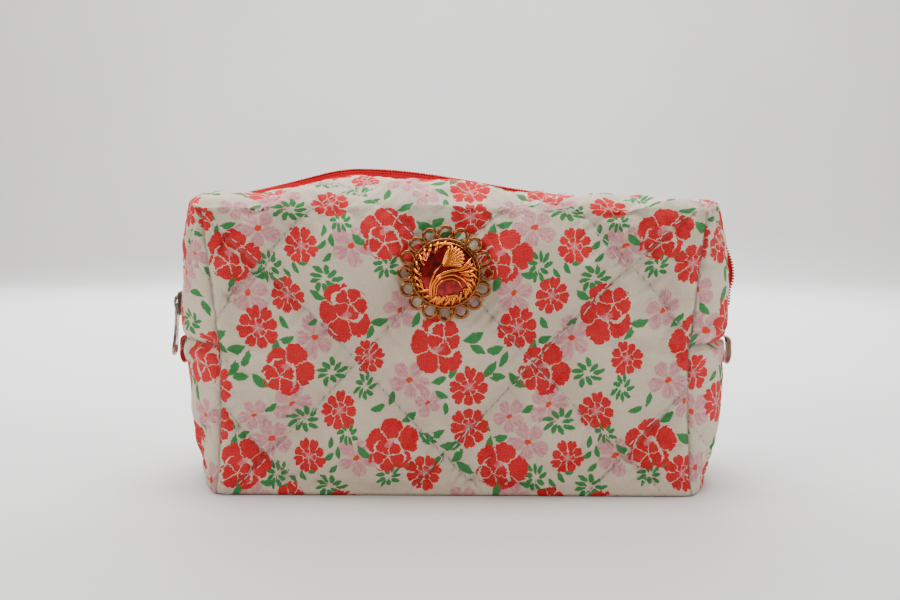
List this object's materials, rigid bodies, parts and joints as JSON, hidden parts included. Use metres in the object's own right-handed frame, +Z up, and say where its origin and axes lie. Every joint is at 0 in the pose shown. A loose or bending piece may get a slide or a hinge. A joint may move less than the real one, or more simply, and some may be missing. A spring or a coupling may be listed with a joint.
{
  "type": "makeup bag",
  "caption": "Boxy quilted fabric pouch with a zip curving over its top from end to end, end tabs and a round ornament on the front.",
  "frame": {"origin": "centre of the flat resting face under the bag", "axes": "+X along the bag's length, its front faces -Y, +Z up"},
  "size_m": [0.2537, 0.1114, 0.1339],
  "materials": {
    "print_cotton": "quilted plain-weave cotton printed with small red and pink flowers",
    "tab_cotton": "plain-weave printed cotton",
    "lining_cotton": "plain-weave cotton",
    "zip_tape": "woven polyester tape",
    "zip_coil": "dyed nylon coil",
    "slider_metal": "worn gunmetal plating",
    "pull_metal": "worn plating with a copper tint",
    "pin_steel": "drawn wire",
    "copper": "antiqued copper plating",
    "gilt": "polished gilt with dark recesses",
    "red_glass": "polished, foil-backed"
  },
  "bodies": {
    "base": {"lower_shell": "print_cotton", "lower_lining": "lining_cotton", "end_tab_left": "tab_cotton", "end_tab_right": "tab_cotton", "seam_binding_left_front_lower": "lining_cotton", "seam_binding_left_back_lower": "lining_cotton", "seam_binding_right_front_lower": "lining_cotton", "seam_binding_right_back_lower": "lining_cotton", "end_seam_binding_left": "lining_cotton", "end_seam_binding_right": "lining_cotton"},
    "front_jaw": {"upper_front_shell": "print_cotton", "upper_front_lining": "lining_cotton", "zip_tape_front": "zip_tape", "zip_coil_front": "zip_coil", "seam_binding_left_front_upper": "lining_cotton", "seam_binding_right_front_upper": "lining_cotton", "brooch_filigree_plate": "copper", "brooch_dome_cup": "copper", "brooch_dome": "red_glass", "brooch_rope_rim": "gilt", "brooch_leaf_overlay": "gilt", "brooch_pin_hinge": "copper", "brooch_pin_catch": "copper", "brooch_pin_stem": "pin_steel"},
    "back_jaw": {"upper_back_shell": "print_cotton", "upper_back_lining": "lining_cotton", "zip_tape_back": "zip_tape", "zip_coil_back": "zip_coil", "seam_binding_left_back_upper": "lining_cotton", "seam_binding_right_back_upper": "lining_cotton"},
    "slider": {"slider_body": "slider_metal"},
    "pull": {"pull_tab": "pull_metal"}
  },
  "joints": [
    {"name": "slider_run", "type": "hinge", "parent": "base", "child": "slider", "pos_m": [0, 0, 0.076], "axis": [0, 1, 0], "range_deg": [0, 180], "deforming": ["zip_tape_front", "zip_tape_back", "zip_coil_front", "zip_coil_back"]},
    {"name": "front_jaw_open", "type": "hinge", "parent": "base", "child": "front_jaw", "pos_m": [0, -0.0509, 0.062], "axis": [1, 0, 0], "range_deg": [0, 22]},
    {"name": "back_jaw_open", "type": "hinge", "parent": "base", "child": "back_jaw", "pos_m": [0, 0.0509, 0.062], "axis": [-1, 0, 0], "range_deg": [0, 22]},
    {"name": "pull_swing", "type": "hinge", "parent": "slider", "child": "pull", "pos_m": [-0.1253, 0, 0.076], "axis": [0, 1, 0], "range_deg": [0, 170]}
  ],
  "couplings": [
    {"joint": "front_jaw_open", "follows": "slider_run", "ratio": 0.12},
    {"joint": "back_jaw_open", "follows": "slider_run", "ratio": 0.12}
  ]
}
